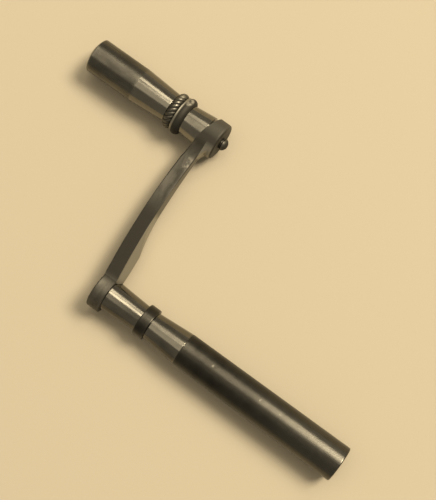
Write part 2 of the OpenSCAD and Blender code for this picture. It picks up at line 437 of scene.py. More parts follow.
@dataclass(frozen=True)
class TurnedFinish(SteelFinish):
    """Bright turned steel on the winding axis, with painted shade along the side away from the handle."""

    cloud_share: float = 0.6
    side: Span = (2.6, 4.3)

    def film_share(self, graph: Graph) -> Signal:
        """Thin clouds, and beyond a distance from the axis along -Y the full film, as painted shade on
        that side.

        Args:
            graph: The material's nodes.

        Returns:
            Share of the film that is left.
        """
        clouds = self.clouds(graph) * self.cloud_share
        # Painted shade: beyond a distance along -Y the full dark film darkens the side away from the
        # lamps.
        side = (graph.along("Y") * -1.0).step(*self.side)
        return clouds + side * (1.0 - clouds)


@dataclass(frozen=True)
class PipeFinish(SteelFinish):
    """Browned steel whose film thins towards the mouth, with a few bright knocks."""

    least_film: float = 0.7
    # Span along X over which the film thins towards the mouth, and by how much.
    mouth_thinning: Span = (-48.0, -4.0)
    mouth_thinning_share: float = 0.8
    knocks: Tuple[Triple, ...] = (
        (-49.3, 1.78, 5.49),
        (-31.3, 2.01, 5.54),
        (-23.8, 2.03, 5.58),
        (-11.8, 2.45, 5.5),
    )
    knock_reach: Span = (0.25, 0.5)

    def film_share(self, graph: Graph) -> Signal:
        """The film's clouds, thinner towards the mouth, with a few bright knocks.

        Args:
            graph: The material's nodes.

        Returns:
            Share of the film that is left.
        """
        left = self.clouds(graph) * (1.0 - self.least_film) + self.least_film
        left = left * (1.0 - graph.along("X").step(*self.mouth_thinning) * self.mouth_thinning_share)
        for point in self.knocks:
            left = left * graph.gap(point).step(*self.knock_reach)
        return left


@dataclass(frozen=True)
class ArmFinish(SteelFinish):
    """Forged steel, dark at the root and round the upper eye and cloudy between, with a painted reflection
    along its front.

    Spans along the bar are distances from the winding axis. Depths lie inside the front's arc about the
    bow's axis, which the arm gives.
    """

    bow_axis: Span = (0.0, 0.0)
    front_r: float = 0.0
    eye_end: Span = (2.0, 7.0)
    eye_wear: float = 0.9
    eye_polish: float = 0.08
    wear_start: Span = (27.0, 41.0)
    wear_end: Span = (51.0, 58.0)
    cloud_share: float = 0.8
    tip_wear: float = 0.2
    # Span and share of painted light on the upper eye's side towards the lamps.
    painted_top_light: Span = (61.0, 66.5)
    painted_top_light_share: float = 0.25
    # Spans of the painted reflection along the bow's front.
    front_start: Span = (-0.08, 0.1)
    front_depth: Span = (2.5, 2.9)
    front_end: Span = (55.5, 58.0)
    # Spans and grain of a painted glint behind the front edge.
    painted_glint_back: Span = (-2.6, -1.6)
    painted_glint_front: Span = (-0.5, -0.1)
    painted_glint_low: Span = (45.5, 47.0)
    painted_glint_high: Span = (49.5, 51.5)
    painted_glint_grain: Triple = (0.7, 0.7, 0.7)
    painted_glint_cover: Span = (0.42, 0.58)
    painted_glint_share: float = 0.45
    # Spans and share of painted light that lifts the shaded hollow where the bar meets the upper eye.
    hollow_low: Span = (51.5, 55.0)
    hollow_high: Span = (57.0, 59.5)
    hollow_painted_light: float = 0.15

    def film_share(self, graph: Graph) -> Signal:
        """The film, worn into clouds on the bar's upper part and the lower eye, thinner at the tip.

        Args:
            graph: The material's nodes.

        Returns:
            Share of the film that is left.
        """
        y = graph.along("Y")
        worn = y.between(self.wear_start, self.wear_end)
        worn = worn + (1.0 - y.step(*self.eye_end)) * self.eye_wear
        left = 1.0 - worn * (1.0 - self.clouds(graph) * self.cloud_share)
        return left - y.step(*self.wear_end) * self.tip_wear

    def polish_and_sheen(self, graph: Graph) -> Optional[Signal]:
        """Painted reflection on the bow's front, a painted glint behind it, painted light on the hollow
        and the upper eye's side, and a light polish on the lower eye.

        Args:
            graph: The material's nodes.

        Returns:
            Share of the polish.
        """
        depth = self.front_r - graph.gap((*self.bow_axis, 0.0), (1.0, 1.0, 0.0))
        y = graph.along("Y")
        # Painted reflection: bright steel along the bow's front face, standing in for the light that face
        # mirrors.
        front = depth.between(self.front_start, self.front_depth)
        front = front * y.between(self.eye_end, self.front_end)
        # Painted glint: a short bright streak just behind the front edge.
        painted_glint = depth.between(self.painted_glint_back, self.painted_glint_front)
        painted_glint = painted_glint * y.between(self.painted_glint_low, self.painted_glint_high)
        painted_glint = painted_glint * graph.noise(self.painted_glint_grain, detail=3.0).step(*self.painted_glint_cover)
        # Painted light: the hollow lifted out of its shade, and the upper eye's side towards the lamps,
        # both kept off the eye's front face.
        hollow = y.between(self.hollow_low, self.hollow_high) * (1.0 - front)
        painted_light = hollow * self.hollow_painted_light + y.step(*self.painted_top_light) * self.painted_top_light_share
        painted_light = painted_light * (1.0 - depth.step(*self.front_depth))
        eye = (1.0 - y.step(*self.eye_end)) * self.eye_polish
        return front + painted_glint * self.painted_glint_share + painted_light + eye


@dataclass(frozen=True)
class RingFinish(SteelFinish):
    """Dark rings with painted highlight spots on their crowns along one side."""

    # Where the painted highlight spots lie on the crowns.
    highlight_turn: float = math.radians(48.0)
    highlight_reach: Span = (5.95, 6.4)
    highlight_grain: Triple = (0.8, 0.8, 0.8)
    highlight_cover: Span = (0.3, 0.6)
    # Where the painted highlight along the fillet lies, and its share.
    fillet_x: float = -105.4
    fillet_half: Span = (0.3, 0.6)
    fillet_highlight: float = 0.65

    def polish_and_sheen(self, graph: Graph) -> Optional[Signal]:
        """Painted highlight spots round one direction, by the distance from the axis that way, and lightly
        a painted highlight along the fillet.

        Args:
            graph: The material's nodes.

        Returns:
            Share of the polish.
        """
        # Painted highlights: bright spots on the crowns round one direction.
        sideways = (graph.along("Y") - THROW) * math.sin(self.highlight_turn)
        out = sideways + graph.along("Z") * math.cos(self.highlight_turn)
        painted_highlights = graph.noise(self.highlight_grain, detail=3.0).step(*self.highlight_cover)
        painted_highlights = painted_highlights * out.step(*self.highlight_reach)
        # Painted highlight: a bright line along the fillet.
        off = graph.along("X") - self.fillet_x
        fillet = 1.0 - (off * off).step(*(half**2 for half in self.fillet_half))
        return painted_highlights + fillet * (1.0 - painted_highlights) * self.fillet_highlight


@dataclass(frozen=True)
class GripFinish(SteelFinish):
    """A grip browned by hands, beside a waist that is kept bright."""

    grip_edge: Span = (-122.0, -121.2)
    ragged: Triple = (0.5, 0.5, 0.5)
    ragged_reach: float = 1.6
    least_film: float = 0.55
    waist_film: float = 0.12

    def film_share(self, graph: Graph) -> Signal:
        """Film over the grip, ending along a ragged line where the waist begins.

        Args:
            graph: The material's nodes.

        Returns:
            Share of the film that is left.
        """
        ragged = (graph.noise(self.ragged, detail=4.0) - NOISE_MIDDLE) * self.ragged_reach
        grip = 1.0 - (graph.along("X") + ragged).step(*self.grip_edge)
        clouds = self.clouds(graph)
        return grip * (clouds * (1.0 - self.least_film) + self.least_film) + clouds * self.waist_film


BRIGHT = TurnedFinish(
    "bright_turned_steel",
    bare=steel_grey(0.165),
    film=steel_grey(0.07),
    cloud=(0.11, 0.33, 0.33),
    cloud_detail=4.0,
)
FERRULE = SteelFinish("bright_ferrule_steel", bare=steel_grey(0.215), film=steel_grey(0.16))
DARK = PipeFinish(
    "browned_steel",
    bare=steel_grey(0.1),
    film=steel_grey(0.026),
    smooth=0.27,
    dull=0.36,
    cover=(0.3, 0.8),
    lay=Lay.ALONG,
    mark_depth=5.0,
    mark_gloss=0.12,
    edge_shine=0.25,
)
FORGED = ArmFinish(
    "forged_steel",
    bare=steel_grey(0.108),
    film=steel_grey(0.036),
    polish_and_sheen_colour=steel_grey(0.32),
    smooth=0.55,
    dull=0.62,
    cover=(0.35, 0.7),
    cloud=(0.36, 0.12, 0.36),
    cloud_grain=0.6,
    lay=Lay.FILED,
    mark_depth=0.08,
    mark_gloss=0.02,
)
WORN = GripFinish(
    "hand_worn_steel",
    bare=steel_grey(0.175),
    film=steel_grey(0.079),
    dull=0.31,
    cover=(0.3, 0.75),
    cloud=(0.108, 0.27, 0.27),
)
RINGED = RingFinish(
    "ring_steel",
    bare=steel_grey(0.125),
    film=steel_grey(0.055),
    smooth=0.3,
    dull=0.72,
    cover=(0.15, 0.4),
    lay=Lay.ROUND,
    mark_depth=0.08,
    mark_gloss=0.02,
    edge_shine=0.95,
)


def node_box(node: str) -> Tuple[np.ndarray, np.ndarray]:
    """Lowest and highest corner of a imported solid, in millimetres."""
    low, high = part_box(node)
    return np.array(low) / MM, np.array(high) / MM


def node_span(node: str) -> Span:
    """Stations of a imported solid's two ends."""
    low, high = node_box(node)
    return float(low[0]), float(high[0])


def node_radius(node: str) -> float:
    """Largest radius of a turned solid, from its height."""
    low, high = node_box(node)
    return float(high[2] - low[2]) / 2.0


def cap_radius(rim: float, height: float) -> float:
    """Radius of the arc through a dome's apex and its rim."""
    return (rim**2 + height**2) / (2.0 * height)


def smooth(mesh: bpy.types.Mesh) -> None:
    """Shades a mesh smooth, but for its sharp edges."""
    mesh.polygons.foreach_set("use_smooth", np.ones(len(mesh.polygons), bool))
    mesh.set_sharp_from_angle(angle=SHARP)


def linked(name: str, data: bpy.types.ID) -> bpy.types.Object:
    """Makes an object of a mesh, a lamp or a camera and links it to the scene.

    Args:
        name: The object's name.
        data: What it shows.

    Returns:
        The object.
    """
    made = bpy.data.objects.new(name, data)
    bpy.context.scene.collection.objects.link(made)
    return made


@dataclass
class Profile:
    """Rows of a turned piece: station, radius, squareness and wear of each.

    The points of a straight stand at the distances of SUPPORT from each of its ends, as far as those stay
    within the share SUPPORT_REACH of its length.
    """

    rows: np.ndarray

    ARC_STEPS = 7
    SUPPORT = np.array([0.08, 0.35, 1.0])
    SUPPORT_REACH = 0.45

    @classmethod
    def turned(cls, corners: Sequence[Corner], ends: RowEnds) -> "Profile":
        """Rounds the corners of an outline and spaces points along its straights.

        The outline runs along +X outside and back along -X inside, so a corner that turns clockwise
        stands proud, and wears.

        Args:
            corners: The outline.
            ends: How the outline closes.

        Returns:
            The profile.
        """
        table = np.array(corners, float)
        ring = ends is RowEnds.RING
        points, rounding, square = table[:, :2], table[:, 2], table[:, 3]
        before = np.roll(points, 1, axis=0) - points
        after = np.roll(points, -1, axis=0) - points
        runs: List[np.ndarray] = []
        proud: List[float] = []
        for i, point in enumerate(points):
            arc, turn = point[None, :], 0.0
            if rounding[i] > 0.0 and (ring or 0 < i < len(points) - 1):
                arc, turn = cls._arc(point, before[i], after[i], rounding[i])
            runs.append(np.column_stack([arc, np.full(len(arc), square[i])]))
            proud.append(1.0 if turn < 0.0 else 0.0)
        return cls(cls._spaced(runs, proud, ring))

    @classmethod
    def _arc(
        cls, point: np.ndarray, before: np.ndarray, after: np.ndarray, radius: float
    ) -> Tuple[np.ndarray, float]:
        """Rounds one corner: the arc's centre plus its radius times evenly turned directions.

        Args:
            point: The corner.
            before: Step back to the corner before.
            after: Step on to the corner after.
            radius: The arc's radius.

        Returns:
            The arc's points, and its turn in radians.
        """
        into = -before / np.linalg.norm(before)
        out = after / np.linalg.norm(after)
        turn = math.atan2(into[0] * out[1] - into[1] * out[0], float(into @ out))
        reach = radius * math.tan(abs(turn) / 2.0)
        side = math.copysign(1.0, turn)
        centre = point - into * reach + side * radius * np.array([-into[1], into[0]])
        start = point - into * reach - centre
        angles = np.linspace(0.0, turn, cls.ARC_STEPS)
        x = start[0] * np.cos(angles) - start[1] * np.sin(angles)
        r = start[0] * np.sin(angles) + start[1] * np.cos(angles)
        return centre + np.column_stack([x, r]), turn

    @classmethod
    def _spaced(cls, runs: List[np.ndarray], proud: List[float], ring: bool) -> np.ndarray:
        """Joins the corners by straights whose points gather near their ends, and adds the wear.

        Wear falls off along the outline as the exponential of the distance from the nearest proud corner.

        Args:
            runs: Points and squareness of each corner.
            proud: 1 for each corner that stands proud.
            ring: Whether the last corner joins the first.

        Returns:
            The profile's rows.
        """
        rows: List[np.ndarray] = []
        edges: List[np.ndarray] = []
        count = len(runs)
        for i, run in enumerate(runs):
            rows.append(run)
            edges.append(np.full(len(run), proud[i]))
            if i == count - 1 and not ring:
                break
            first, last = run[-1], runs[(i + 1) % count][0]
            length = float(np.linalg.norm(last[:2] - first[:2]))
            near = cls.SUPPORT[cls.SUPPORT < cls.SUPPORT_REACH * length] / max(length, TINY)
            share = np.concatenate([near, 1.0 - near[::-1]])
            rows.append(first + share[:, None] * (last - first))
            edges.append(np.zeros(len(share)))
        table = np.vstack(rows)
        edge = np.concatenate(edges)
        steps = np.linalg.norm(np.diff(table[:, :2], axis=0), axis=1)
        along = np.concatenate([[0.0], np.cumsum(steps)])
        gap = np.abs(along[:, None] - along[None, :])
        if ring:
            whole = along[-1] + float(np.linalg.norm(table[0, :2] - table[-1, :2]))
            gap = np.minimum(gap, whole - gap)
        wear = (np.exp(-gap / WEAR_REACH) * edge[None, :]).max(axis=1)
        return np.column_stack([table, wear])


@dataclass
class Grid:
    """A surface as rows and columns of points, closed round its columns."""

    points: np.ndarray
    wear: np.ndarray
    ends: RowEnds

    COLUMNS = 192

    @classmethod
    def turned(
        cls, corners: Sequence[Corner], axis_y: float = 0.0, ends: RowEnds = RowEnds.RING
    ) -> "Grid":
        """Sweeps an outline round an axis along X.

        A point's distance from the axis is its row's radius, divided by the larger of |cos| and |sin| of
        its turn as far as the row is square.

        Args:
            corners: The outline.
            axis_y: The axis's Y, which is 0 on the winding axis.
            ends: How the outline closes.

        Returns:
            The surface.
        """
        profile = Profile.turned(corners, ends)
        turn = np.arange(cls.COLUMNS) * 2.0 * np.pi / cls.COLUMNS
        station, radius, square, wear = (profile.rows[:, k, None] for k in range(4))
        corner = 1.0 / np.maximum(np.abs(np.cos(turn)), np.abs(np.sin(turn)))
        reach = radius * (1.0 - square + square * corner[None, :])
        x = np.broadcast_to(station, reach.shape)
        points = np.stack([x, axis_y + reach * np.cos(turn), reach * np.sin(turn)], axis=-1)
        return cls(points, np.broadcast_to(wear, reach.shape), ends)

    def faces(self) -> List[List[int]]:
        """Numbers of the corners of every face, outwards.

        A cell joins its row and column to the next of each. With poles, the first and last rows are
        closed by triangles to single points.

        Returns:
            Quads, and triangles at the poles.
        """
        rows, columns = self.points.shape[:2]
        here = np.arange(rows * columns).reshape(rows, columns)
        beside = np.roll(here, -1, axis=1)
        if self.ends is RowEnds.RING:
            up, up_beside = np.roll(here, -1, axis=0), np.roll(beside, -1, axis=0)
            return np.stack([here, beside, up_beside, up], axis=-1).reshape(-1, 4).tolist()
        cells = np.stack([here[:-1], beside[:-1], beside[1:], here[1:]], axis=-1).reshape(-1, 4)
        first, last = rows * columns, rows * columns + 1
        low = np.stack([np.full(columns, first), beside[0], here[0]], axis=-1)
        high = np.stack([np.full(columns, last), here[-1], beside[-1]], axis=-1)
        return cells.tolist() + low.tolist() + high.tolist()

    def show(self, name: str) -> bpy.types.Object:
        """Puts the surface into the scene at the origin, in metres, with its wear.

        Args:
            name: Name of the mesh and the object.

        Returns:
            The object.
        """
        points = self.points.reshape(-1, 3)
        wear = self.wear.reshape(-1)
        if self.ends is RowEnds.POLES:
            points = np.vstack([points, self.points[0].mean(axis=0), self.points[-1].mean(axis=0)])
            wear = np.concatenate([wear, self.wear[0, :1], self.wear[-1, :1]])
        mesh = bpy.data.meshes.new(name)
        mesh.from_pydata((points * MM).tolist(), [], self.faces())
        kept = mesh.attributes.new(WEAR, "FLOAT", "POINT")
        kept.data.foreach_set("value", wear.astype(np.float32))
        smooth(mesh)
        return linked(name, mesh)


@dataclass
class Assembly:
    """Pieces that move together as one body."""

    body: Body

    def add(self, name: str, grid: Grid, node: str, slot: str, steel: bpy.types.Material) -> None:
        """Shows a surface as a piece and dresses it."""
        self.dress(grid.show(name), node, slot, steel)

    def dress(self, piece: bpy.types.Object, node: str, slot: str, steel: bpy.types.Material) -> None:
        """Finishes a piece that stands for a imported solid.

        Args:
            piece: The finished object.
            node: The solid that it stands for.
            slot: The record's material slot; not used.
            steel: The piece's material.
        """
        piece.data.materials.clear()
        piece.data.materials.append(steel)
        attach(piece, self.body.value)
        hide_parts(node)
        log.info("%s: %d faces for %s", piece.name, len(piece.data.polygons), node)


@dataclass
class PipeEnd(Assembly):
    """The stem with its hub, collar, neck and socket pipe, all on the winding axis."""

    body: Body = Body.CRANK
    eye_t: float = 4.5
    hub_collar_r: float = 4.6
    stem_r: float = 3.5
    stem_round: float = 0.3
    tenon_half: float = 3.0
    tenon_round: float = 0.12
    tenon_dome: float = 0.12
    dome_mid: Span = (0.8, 0.5)
    neck_r: float = 4.7
    shoulder_r: float = 5.7
    collar_round: float = 0.3
    socket_half: float = 2.75
    socket_depth: float = 22.0
    relief_r: float = 2.7
    mouth_round: float = 0.45
    mouth_lead: float = 0.25
    seat_gap: float = 0.03
    crisp: float = 0.1

    @property
    def bore(self) -> float:
        """Radius of the holes that take the stem."""
        return self.stem_r + self.seat_gap

    def hub(self) -> Grid:
        """Hub that tapers from the arm, with its stem and its peened square tenon.

        The peened face has a middle row at the shares of its height and half width that dome_mid gives.

        Returns:
            The surface.
        """
        start, end = node_span("hub_stem")
        arm_x = start + self.eye_t
        hub_x = node_span("pipe_collar")[0]
        mid_rise, mid_reach = self.dome_mid
        corners = [
            Corner(start - self.tenon_dome, POLE_R, square=1.0),
            Corner(start - self.tenon_dome * mid_rise, self.tenon_half * mid_reach, square=1.0),
            Corner(start, self.tenon_half, self.tenon_round, square=1.0),
            Corner(arm_x, self.tenon_half, square=1.0),
            Corner(arm_x, node_radius("hub_stem"), self.crisp),
            Corner(hub_x, self.hub_collar_r, self.crisp),
            Corner(hub_x, self.stem_r),
            Corner(end, self.stem_r, self.stem_round),
            Corner(end, POLE_R),
        ]
        return Grid.turned(corners, ends=RowEnds.POLES)

    def sleeve(self, node: str, start_r: float, end_r: float, rounding: float) -> Grid:
        """Ring or cone over the stem.

        Args:
            node: The solid whose length it has.
            start_r: Radius at its lower station.
            end_r: Radius at its higher station.
            rounding: Round of its outer edges.

        Returns:
            The surface.
        """
        start, end = node_span(node)
        corners = [
            Corner(start, self.bore),
            Corner(start, start_r, rounding),
            Corner(end, end_r, rounding),
            Corner(end, self.bore),
        ]
        return Grid.turned(corners)

    def pipe(self) -> Grid:
        """Tapering pipe with a rounded mouth, a square socket and a round bore behind it.

        Returns:
            The surface.
        """
        start, end = node_span("socket_pipe")
        stem_end = node_span("hub_stem")[1]
        floor = end - self.socket_depth
        corners = [
            Corner(start, self.bore),
            Corner(start, self.shoulder_r, self.crisp),
            Corner(end, node_radius("socket_pipe"), self.mouth_round),
            Corner(end, self.socket_half, self.mouth_lead, square=1.0),
            Corner(floor, self.socket_half, square=1.0),
            Corner(floor, self.relief_r),
            Corner(stem_end, self.relief_r),
            Corner(stem_end, self.bore),
        ]
        return Grid.turned(corners)

    def build(self, bright: bpy.types.Material, dark: bpy.types.Material) -> None:
        """Makes the four pieces.

        Args:
            bright: Finish of the hub and neck.
            dark: Finish of the collar and pipe.
        """
        collar_r = node_radius("pipe_collar")
        collar = self.sleeve("pipe_collar", collar_r, collar_r, self.collar_round)
        neck = self.sleeve("neck_cone", self.neck_r, self.shoulder_r, self.crisp)
        self.add("hub", self.hub(), "hub_stem", "bright_steel", bright)
        self.add("collar", collar, "pipe_collar", "dark_steel", dark)
        self.add("neck", neck, "neck_cone", "bright_steel", bright)
        self.add("pipe", self.pipe(), "socket_pipe", "dark_steel", dark)


@dataclass
class Arm(Assembly):
    """The bowed arm: an eye at each end of a tapering bar that carries a ridge at its root."""

    body: Body = Body.CRANK
    lower_eye_t: float = 4.5
    lower_eye_round: float = 0.5
    lower_front_round: float = 0.12
    upper_eye_r: float = 6.3
    upper_eye_t: float = 5.4
    upper_eye_round: float = 0.9
    eye_offset: float = 0.1
    journal_bore_r: float = 1.55
    tenon_hole_half: float = 3.03
    hole_lead: float = 0.1
    bar_t: float = 4.5
    root_half: float = 4.6
    root_lap: float = 0.4
    root_run: float = 0.6
    tip_half: float = 2.25
    bow: float = 3.0
    crown_drop: float = 15.0
    tip_arc: float = 75.0
    tip_drop: float = 3.0
    tip_lap: float = 0.3
    tip_keep: float = 0.004
    spot_r: float = 5.95
    spot_reach: float = 1.0
    eye_fillet: float = 7.0
    eye_blend: float = 9.0
    root_edge: float = 0.15
    tip_edge: float = 0.65
    edge_start: float = 32.0
    edge_run: float = 20.0
    tuck: float = 0.7
    tuck_slope: float = 2.0
    ridge_h: float = 2.1
    ridge_half: float = 3.8
    ridge_peak: float = 15.0
    ridge_end: float = 31.0
    ridge_arc: float = 58.0
    ridge_soft: float = 0.12
    hub_r: float = 5.28
    hub_length: float = 12.9
    inset: float = 0.02
    throw: float = THROW

    ROOT_ROWS = 3
    BAR_ROWS = 241
    CORNER_POINTS = 6
    FRONT_SHARES = np.linspace(0.0, 1.0, 41)[1:-1]
    EDGE_SHARES = np.array([0.03, 0.1, 0.25, 0.5, 0.75, 0.9, 0.97])

    @property
    def lower_eye_r(self) -> float:
        """Radius of the lower eye."""
        return -float(node_box("crank_arm")[0][1])

    @property
    def back_x(self) -> float:
        """Station of the lower eye's back."""
        return node_span("hub_stem")[0]

    @property
    def front_x(self) -> float:
        """Station of the lower eye's front."""
        return self.back_x + self.lower_eye_t

    @property
    def upper_front_x(self) -> float:
        """Station of the upper eye's front."""
        return self.front_x - self.lower_eye_t / 2.0 - self.eye_offset + self.upper_eye_t / 2.0

    @property
    def crown(self) -> float:
        """Distance from the winding axis to the bow's crown."""
        return self.throw - self.crown_drop

    @property
    def crown_x(self) -> float:
        """Station of the bar's back at the bow's crown."""
        return self.front_x - (self.lower_eye_t + self.bar_t) / 2.0 - self.bow

    @property
    def bar_start(self) -> float:
        """Distance from the winding axis at which the bar leaves the lower eye."""
        return math.sqrt(self.lower_eye_r**2 - self.root_half**2) - self.root_lap

    @property
    def bow_circle(self) -> Span:
        """X of the bow's axis, and the radius of the bar's middle about it."""
        radius = ((self.crown - self.bar_start) ** 2 + self.bow**2) / (2.0 * self.bow)
        return self.front_x - self.lower_eye_t / 2.0 - self.bow + radius, radius

    def tip_back(self, y: np.ndarray) -> np.ndarray:
        """Station, at a distance from the winding axis, of the arc that leans the back in at the tip."""
        off = np.maximum(y - self.crown + self.tip_drop, 0.0)
        return self.crown_x - self.tip_lap + self.tip_arc - np.sqrt(self.tip_arc**2 - off**2)

    def lower_eye(self) -> Grid:
        """Disc on the winding axis with a square hole for the tenon."""
        corners = [
            Corner(self.back_x, self.tenon_hole_half, self.hole_lead, square=1.0),
            Corner(self.back_x, self.lower_eye_r, self.lower_eye_round),
            Corner(self.front_x, self.lower_eye_r, self.lower_front_round),
            Corner(self.front_x, self.tenon_hole_half, square=1.0),
        ]
        return Grid.turned(corners)

    def upper_eye(self) -> Grid:
        """Boss on the handle's axis with the journal's bore and a round front rim.

        Points that a straight sweep leaves behind the leaning arc are pushed forward to it.

        Returns:
            The surface.
        """
        corners = [
            Corner(self.crown_x, self.journal_bore_r),
            Corner(self.crown_x, self.upper_eye_r),
            Corner(self.upper_front_x, self.upper_eye_r, self.upper_eye_round),
            Corner(self.upper_front_x, self.journal_bore_r, self.hole_lead),
        ]
        grid = Grid.turned(corners, self.throw)
        x = grid.points[..., 0]
        lean = self.tip_back(grid.points[..., 1]) + self.inset
        grid.points[..., 0] = np.where(x < lean, lean + (x - self.crown_x) * self.tip_keep, x)
        return grid

    def spot_room(self) -> Grid:
        """Room behind the upper eye, up to the spot face that the ferrule turns against."""
        spot_x = self.upper_front_x - self.upper_eye_t
        return self.plug(self.crown_x - self.spot_reach, spot_x, self.spot_r, self.throw)

    def hub_room(self) -> Grid:
        """Room that the hub takes in front of the lower eye."""
        start = self.front_x + self.inset / 2.0
        return self.plug(start, self.front_x + self.hub_length, self.hub_r, 0.0)

    def plug(self, start: float, end: float, radius: float, axis_y: float) -> Grid:
        """Plain cylinder between two stations."""
        outline = ((start, POLE_R), (start, radius), (end, radius), (end, POLE_R))
        return Grid.turned([Corner(*point) for point in outline], axis_y, RowEnds.POLES)

    def section(self) -> np.ndarray:
        """One loop round the bar's section.

        The loop goes down the front, back along the bottom, up the back and forward along the top, with a
        quarter circle at each corner.

        Returns:
            Rows of place along the thickness (0 to 1), place across the width (-1 to 1), and the corner's
            direction along X and Z.
        """
        quarter = np.linspace(0.0, np.pi / 2.0, self.CORNER_POINTS)
        sides: List[np.ndarray] = []
        corners = [(1.0, 1.0), (1.0, -1.0), (0.0, -1.0), (0.0, 1.0)]
        for k, (thick, wide) in enumerate(corners):
            angle = np.pi / 2.0 * (1 - k) - quarter
            place = np.broadcast_to([thick, wide], (len(quarter), 2))
            sides.append(np.column_stack([place, np.cos(angle), np.sin(angle)]))
            start = sides[-1][-1]
            end = np.array([*corners[(k + 1) % 4], *start[2:]])
            shares = self.EDGE_SHARES if k else self.FRONT_SHARES
            sides.append(start + shares[:, None] * (end - start))
        return np.vstack(sides)

    def ridge(self, y: np.ndarray, z: np.ndarray) -> np.ndarray:
        """Height of the ridge in front of the bar.

        Along the bar it rises on one arc to the peak and falls on a hollow arc to its end. Across the bar
        it is a roof. The height is the soft minimum of the two: minus the log of the sum of their
        negative exponentials.

        Args:
            y: Distance from the winding axis.
            z: Distance from the bar's middle.

        Returns:
            Height at each point.
        """
        rise = self.ridge_h - (y - self.ridge_peak) ** 2 / (2.0 * self.ridge_arc)
        fall = np.clip(self.ridge_end - y, 0.0, None) ** 2 / (2.0 * self.ridge_arc)
        along = np.minimum(rise, fall)
        across = self.ridge_h * (1.0 - np.abs(z) / self.ridge_half)
        soft = self.ridge_soft
        least = -soft * np.log(np.exp(-along / soft) + np.exp(-across / soft))
        return np.clip(least, 0.0, None)

    def half_width(self, y: np.ndarray) -> np.ndarray:
        """Half the bar's width.

        A straight taper runs from root to tip. An arc that touches both the taper's side and the upper
        eye's rim then carries the side outwards: its centre is one arc radius off the side and one arc
        radius off the rim. Beyond the rim the side stays just inside it.

        Args:
            y: Distance from the winding axis.

        Returns:
            Half width at each distance.
        """
        start, eye_r, arc_r = self.bar_start, self.upper_eye_r, self.eye_blend
        slope = math.atan((self.root_half - self.tip_half) / (self.throw - eye_r / 2.0 - start))
        straight = self.root_half - math.tan(slope) * (y - start)
        off = math.cos(slope) * (self.root_half - math.tan(slope) * (self.throw - start)) + arc_r
        reach = math.sqrt((eye_r + arc_r) ** 2 - off**2)
        centre_y = self.throw - reach * math.cos(slope) + off * math.sin(slope)
        centre_z = reach * math.sin(slope) + off * math.cos(slope)
        arc = centre_z - np.sqrt(np.clip(arc_r**2 - (y - centre_y) ** 2, 0.0, None))
        half = np.where(y > centre_y - arc_r * math.sin(slope), np.maximum(arc, straight), straight)
        touch_y = self.throw + (centre_y - self.throw) * eye_r / (eye_r + arc_r)
        rim = np.sqrt(np.clip((eye_r - self.inset) ** 2 - (self.throw - y) ** 2, 0.0, None))
        return np.where(y > touch_y, rim, half)

    def faces_along(self, y: np.ndarray) -> Tuple[np.ndarray, np.ndarray]:
        """Stations of the bar's back and front.

        Both follow arcs about one upright axis. Beyond the crown the back leans in on a tighter arc, and
        the front climbs to the eye's rim on another. Inside the lower eye both are set in a little.

        Args:
            y: Distance from the winding axis.

        Returns:
            The back and the front.
        """
        axis_x, radius = self.bow_circle
        front_r, back_r = radius - self.bar_t / 2.0, radius + self.bar_t / 2.0
        bowed = np.maximum(y, self.bar_start)
        back = axis_x - np.sqrt(back_r**2 - (bowed - self.crown) ** 2)
        back = np.maximum(back, self.tip_back(bowed))
        front = axis_x - np.sqrt(front_r**2 - (bowed - self.crown) ** 2)
        root = np.where(y < self.bar_start, self.inset, 0.0)
        rim_front = self.upper_front_x - self.upper_eye_round
        climb = y - self.throw + self.upper_eye_r + self.eye_fillet / 2.0
        climb = np.clip(climb, 0.0, self.eye_fillet)
        ramp = axis_x - front_r + self.eye_fillet - np.sqrt(self.eye_fillet**2 - climb**2)
        return back + root, np.maximum(front - root, np.minimum(ramp, rim_front))

    def bar(self) -> Grid:
        """Section carried along the bow, with the ridge on its front.

        The edges' round and wear grow towards the tip by a smooth step. The wear falls off as the
        exponential of the distance from an edge. The back is tucked in where it ends inside the upper eye.

        Returns:
            The surface.
        """
        start, end = self.bar_start, self.throw - self.upper_eye_r / 2.0
        root = np.linspace(start - self.root_run, start, self.ROOT_ROWS)
        y = np.concatenate([root, np.linspace(start, end, self.BAR_ROWS)[1:]])[:, None]
        back, front = self.faces_along(y)
        back = back + np.clip(y - end + self.tuck, 0.0, None) * self.tuck_slope
        half = self.half_width(np.maximum(y, start))
        ripe = np.clip((y - self.edge_start) / self.edge_run, 0.0, 1.0)
        ripe = ripe**2 * (3.0 - 2.0 * ripe)
        edge = self.root_edge + (self.tip_edge - self.root_edge) * ripe
        thick, wide, turn_x, turn_z = (part[None, :] for part in self.section().T)
        z = (half - edge) * wide + edge * turn_z
        x = back + edge + (front - back - 2.0 * edge) * thick + edge * turn_x
        y_all = np.broadcast_to(y, z.shape)
        x = x + thick * np.where(y_all < start, 0.0, self.ridge(y_all, z))
        from_side = (1.0 - np.abs(wide)) * (half - edge)
        from_face = np.minimum(thick, 1.0 - thick) * (front - back)
        wear = np.exp(-np.maximum(from_side, from_face) / WEAR_REACH) * ripe
        return Grid(np.stack([x, y_all, z], axis=-1), wear, RowEnds.POLES)

